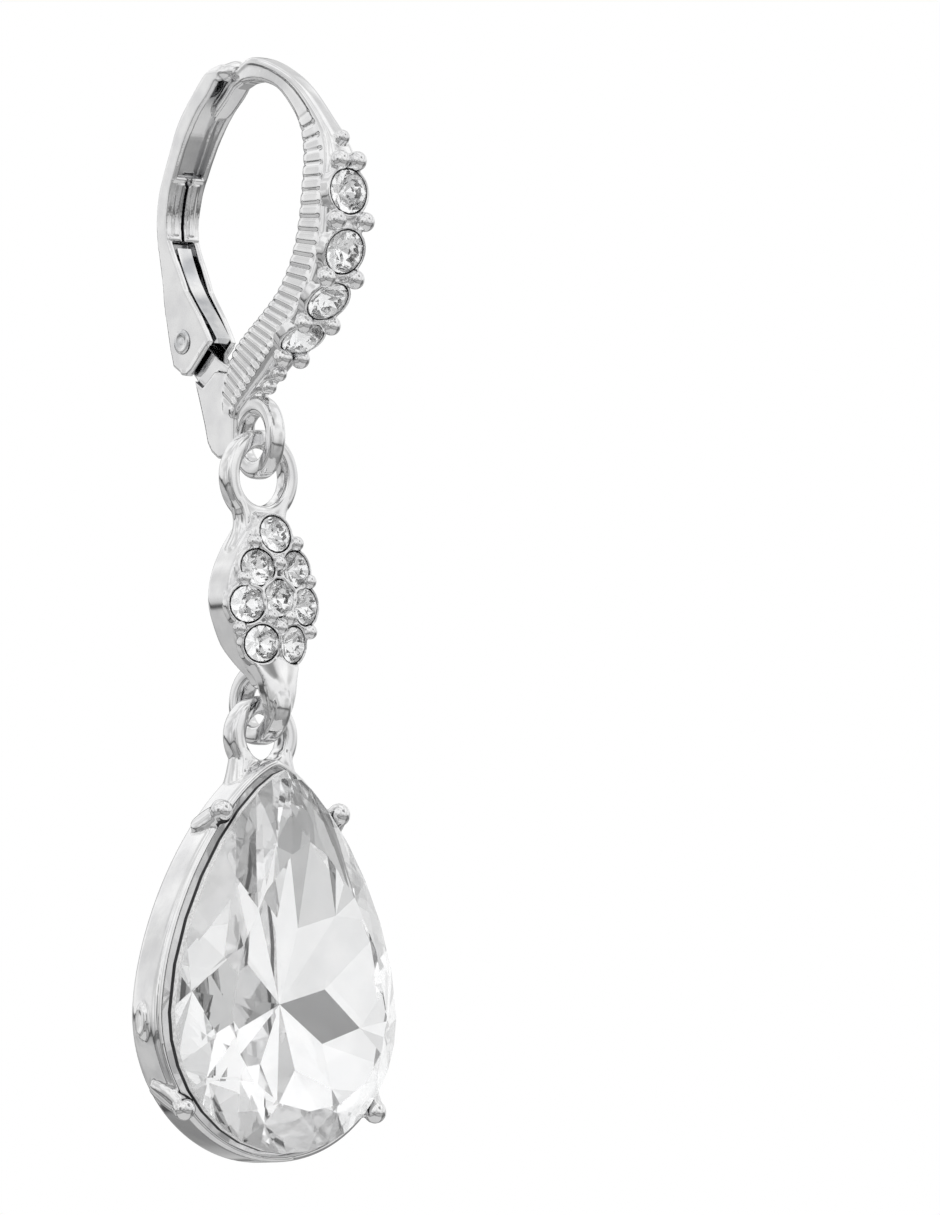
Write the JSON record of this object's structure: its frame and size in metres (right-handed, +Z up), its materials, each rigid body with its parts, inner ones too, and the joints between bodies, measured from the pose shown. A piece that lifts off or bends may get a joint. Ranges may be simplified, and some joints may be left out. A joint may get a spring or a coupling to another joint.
{
  "type": "leverback drop earring",
  "caption": "Leverback drop earring: ribbed hook with a hinged lever, a stone-set link and a pear-cut crystal in a cup setting.",
  "frame": {"origin": "inside top of the hook's arch, where the earring hangs on the ear", "axes": "+Z up, stone faces towards -Y, symmetric about X = 0"},
  "size_m": [0.0146, 0.0142, 0.0523],
  "materials": {
    "ear_hook_plate": "bright rhodium plate",
    "lever_plate": "bright rhodium plate",
    "spring_tongue_plate": "bright rhodium plate",
    "hinge_pin_plate": "bright rhodium plate",
    "link_plate": "bright rhodium plate",
    "drop_setting_plate": "bright rhodium plate",
    "hook_stone_1_glass": "cut, foiled behind",
    "hook_stone_2_glass": "cut, foiled behind",
    "hook_stone_3_glass": "cut, foiled behind",
    "hook_stone_4_glass": "cut, foiled behind",
    "link_stone_1_glass": "cut, foiled behind",
    "link_stone_2_glass": "cut, foiled behind",
    "link_stone_3_glass": "cut, foiled behind",
    "link_stone_4_glass": "cut, foiled behind",
    "link_stone_5_glass": "cut, foiled behind",
    "link_stone_6_glass": "cut, foiled behind",
    "link_stone_7_glass": "cut, foiled behind",
    "link_stone_8_glass": "cut, foiled behind",
    "pear_crystal_glass": "cut, foiled behind"
  },
  "bodies": {
    "hook": {"ear_hook": "ear_hook_plate", "hinge_pin": "hinge_pin_plate", "hook_stone_1": "hook_stone_1_glass", "hook_stone_2": "hook_stone_2_glass", "hook_stone_3": "hook_stone_3_glass", "hook_stone_4": "hook_stone_4_glass"},
    "lever": {"lever": "lever_plate", "spring_tongue": "spring_tongue_plate"},
    "link": {"link": "link_plate", "link_stone_1": "link_stone_1_glass", "link_stone_2": "link_stone_2_glass", "link_stone_3": "link_stone_3_glass", "link_stone_4": "link_stone_4_glass", "link_stone_5": "link_stone_5_glass", "link_stone_6": "link_stone_6_glass", "link_stone_7": "link_stone_7_glass", "link_stone_8": "link_stone_8_glass"},
    "drop": {"drop_setting": "drop_setting_plate", "pear_crystal": "pear_crystal_glass"}
  },
  "joints": [
    {"name": "lever_hinge", "type": "hinge", "parent": "hook", "child": "lever", "pos_m": [0, 0.0048, -0.01205], "axis": [1, 0, 0], "range_deg": [-60, 0]},
    {"name": "link_swing", "type": "hinge", "parent": "hook", "child": "link", "pos_m": [0, -0.0002, -0.01845], "axis": [0, 1, 0], "range_deg": [-30, 30]},
    {"name": "drop_swing", "type": "hinge", "parent": "link", "child": "drop", "pos_m": [0, -0.00033, -0.03103], "axis": [0, 1, 0], "range_deg": [-30, 30]}
  ]
}
